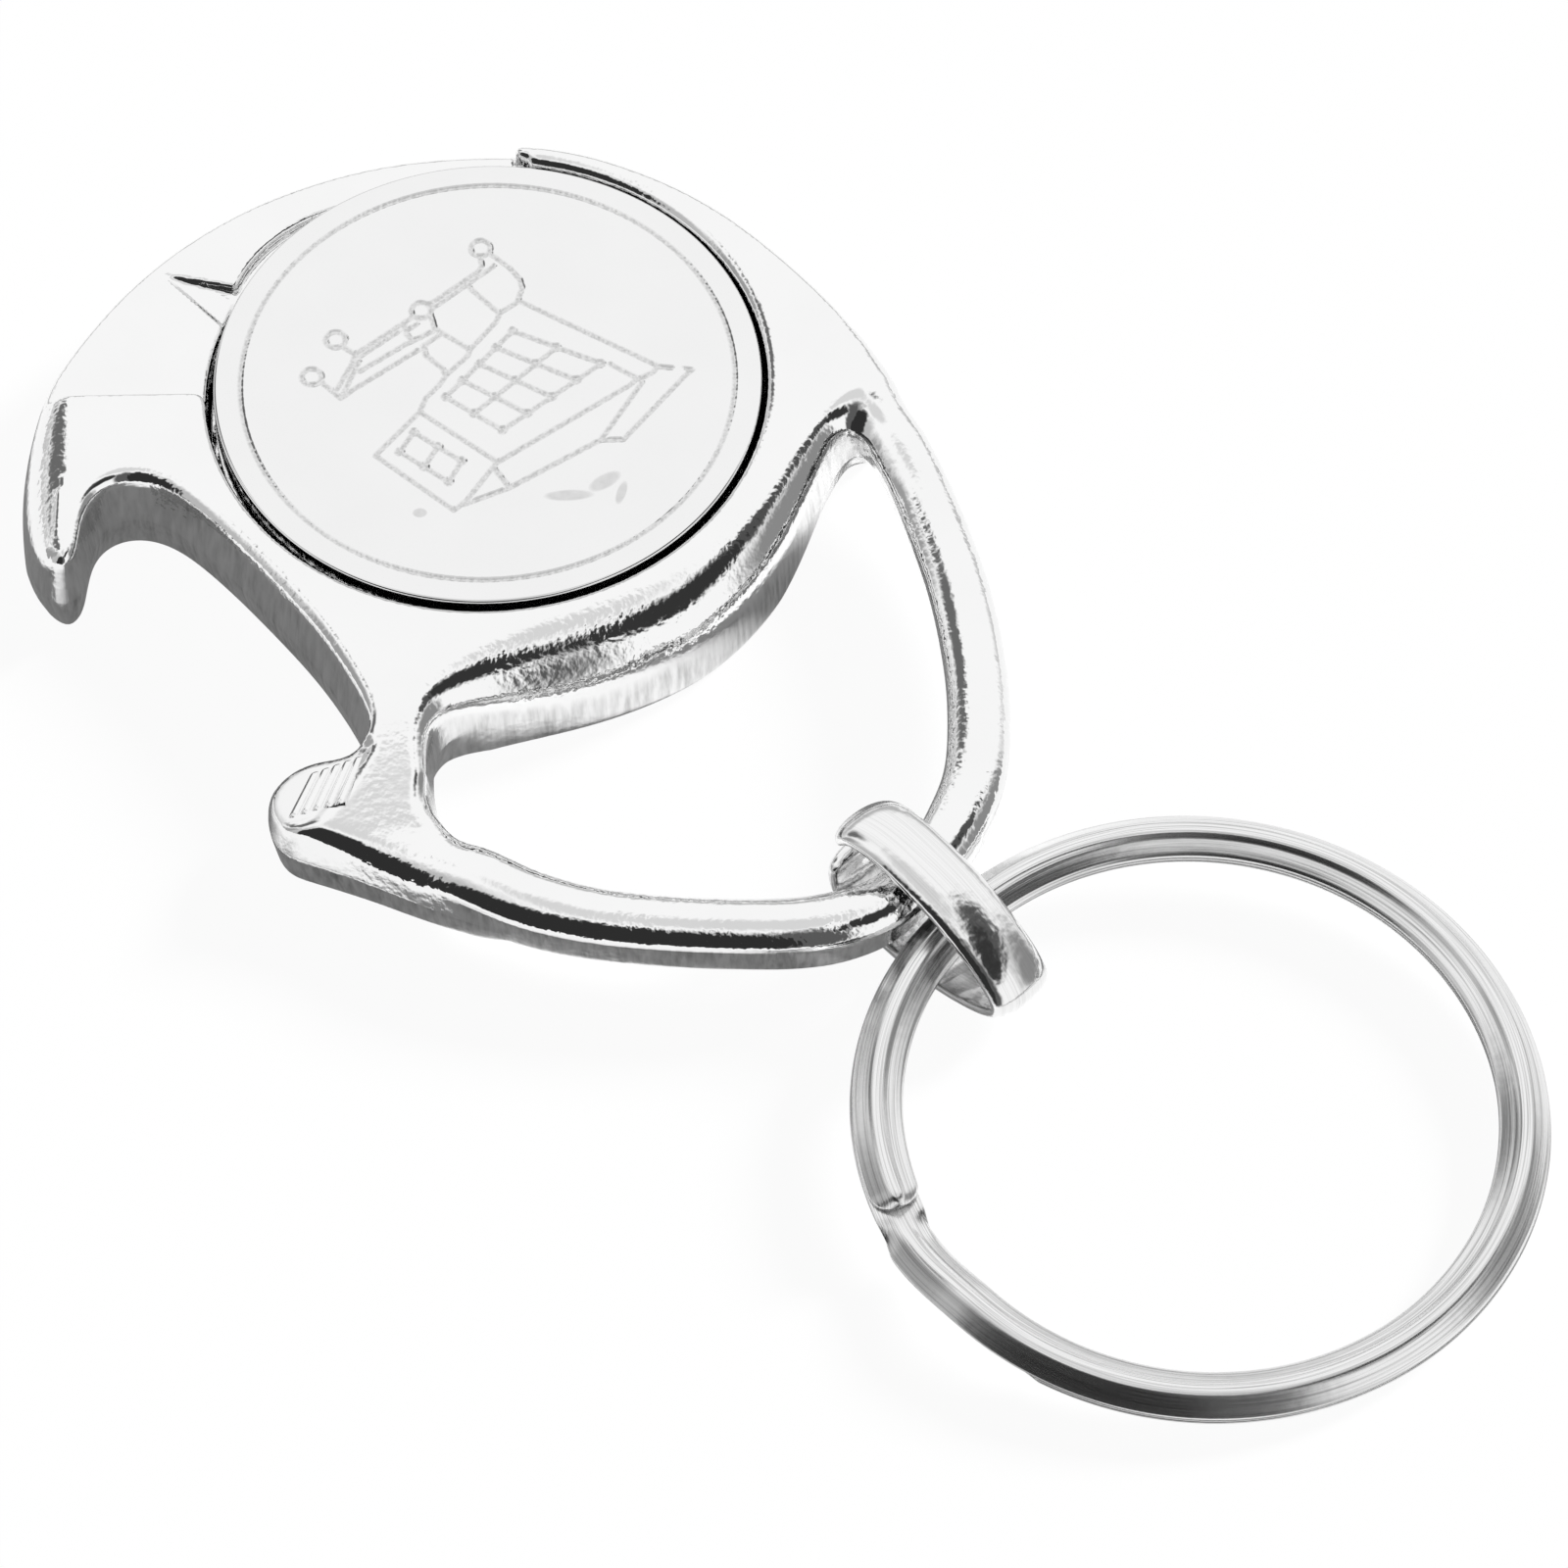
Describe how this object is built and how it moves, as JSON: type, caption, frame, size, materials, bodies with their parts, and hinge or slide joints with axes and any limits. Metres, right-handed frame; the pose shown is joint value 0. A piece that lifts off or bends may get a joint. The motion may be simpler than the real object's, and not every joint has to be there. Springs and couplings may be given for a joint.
{
  "type": "coin holder keyring",
  "caption": "Cast keyring holder with a magnetic trolley coin pocket, bottle opener mouth, key loop, band link and split ring.",
  "frame": {"origin": "on the coin's axis, at the holder's flat back", "axes": "+Z from the holder's back to the coin's face, +Y towards the holder's rounded top, -X towards the opener's mouth"},
  "size_m": [0.0628, 0.0624, 0.0057],
  "materials": {
    "chrome_plate": "bright chrome plate on cast zinc",
    "magnet_nickel": "nickel plate, satin",
    "coin_steel": "polished steel, finely brushed and engraved",
    "link_plate": "bright nickel plate",
    "ring_plate": "bright nickel plate on spring steel"
  },
  "bodies": {
    "holder": {"holder_body": "chrome_plate", "retaining_magnet": "magnet_nickel"},
    "coin": {"trolley_coin": "coin_steel"},
    "link": {"connecting_link": "link_plate"},
    "ring": {"split_ring": "ring_plate"}
  },
  "joints": [
    {"name": "coin_lift", "type": "slide", "parent": "holder", "child": "coin", "axis": [0, 0, 1], "range_m": [0, 0.012]},
    {"name": "link_swing", "type": "hinge", "parent": "holder", "child": "link", "pos_m": [0.01728, -0.0249, 0.0029], "axis": [-0.7071, -0.7071, 0], "range_deg": [-30, 75]},
    {"name": "ring_swing", "type": "hinge", "parent": "link", "child": "ring", "pos_m": [0.01912, -0.02681, 0.00253], "axis": [-0.6561, -0.7547, 0], "range_deg": [-60, 60]}
  ]
}
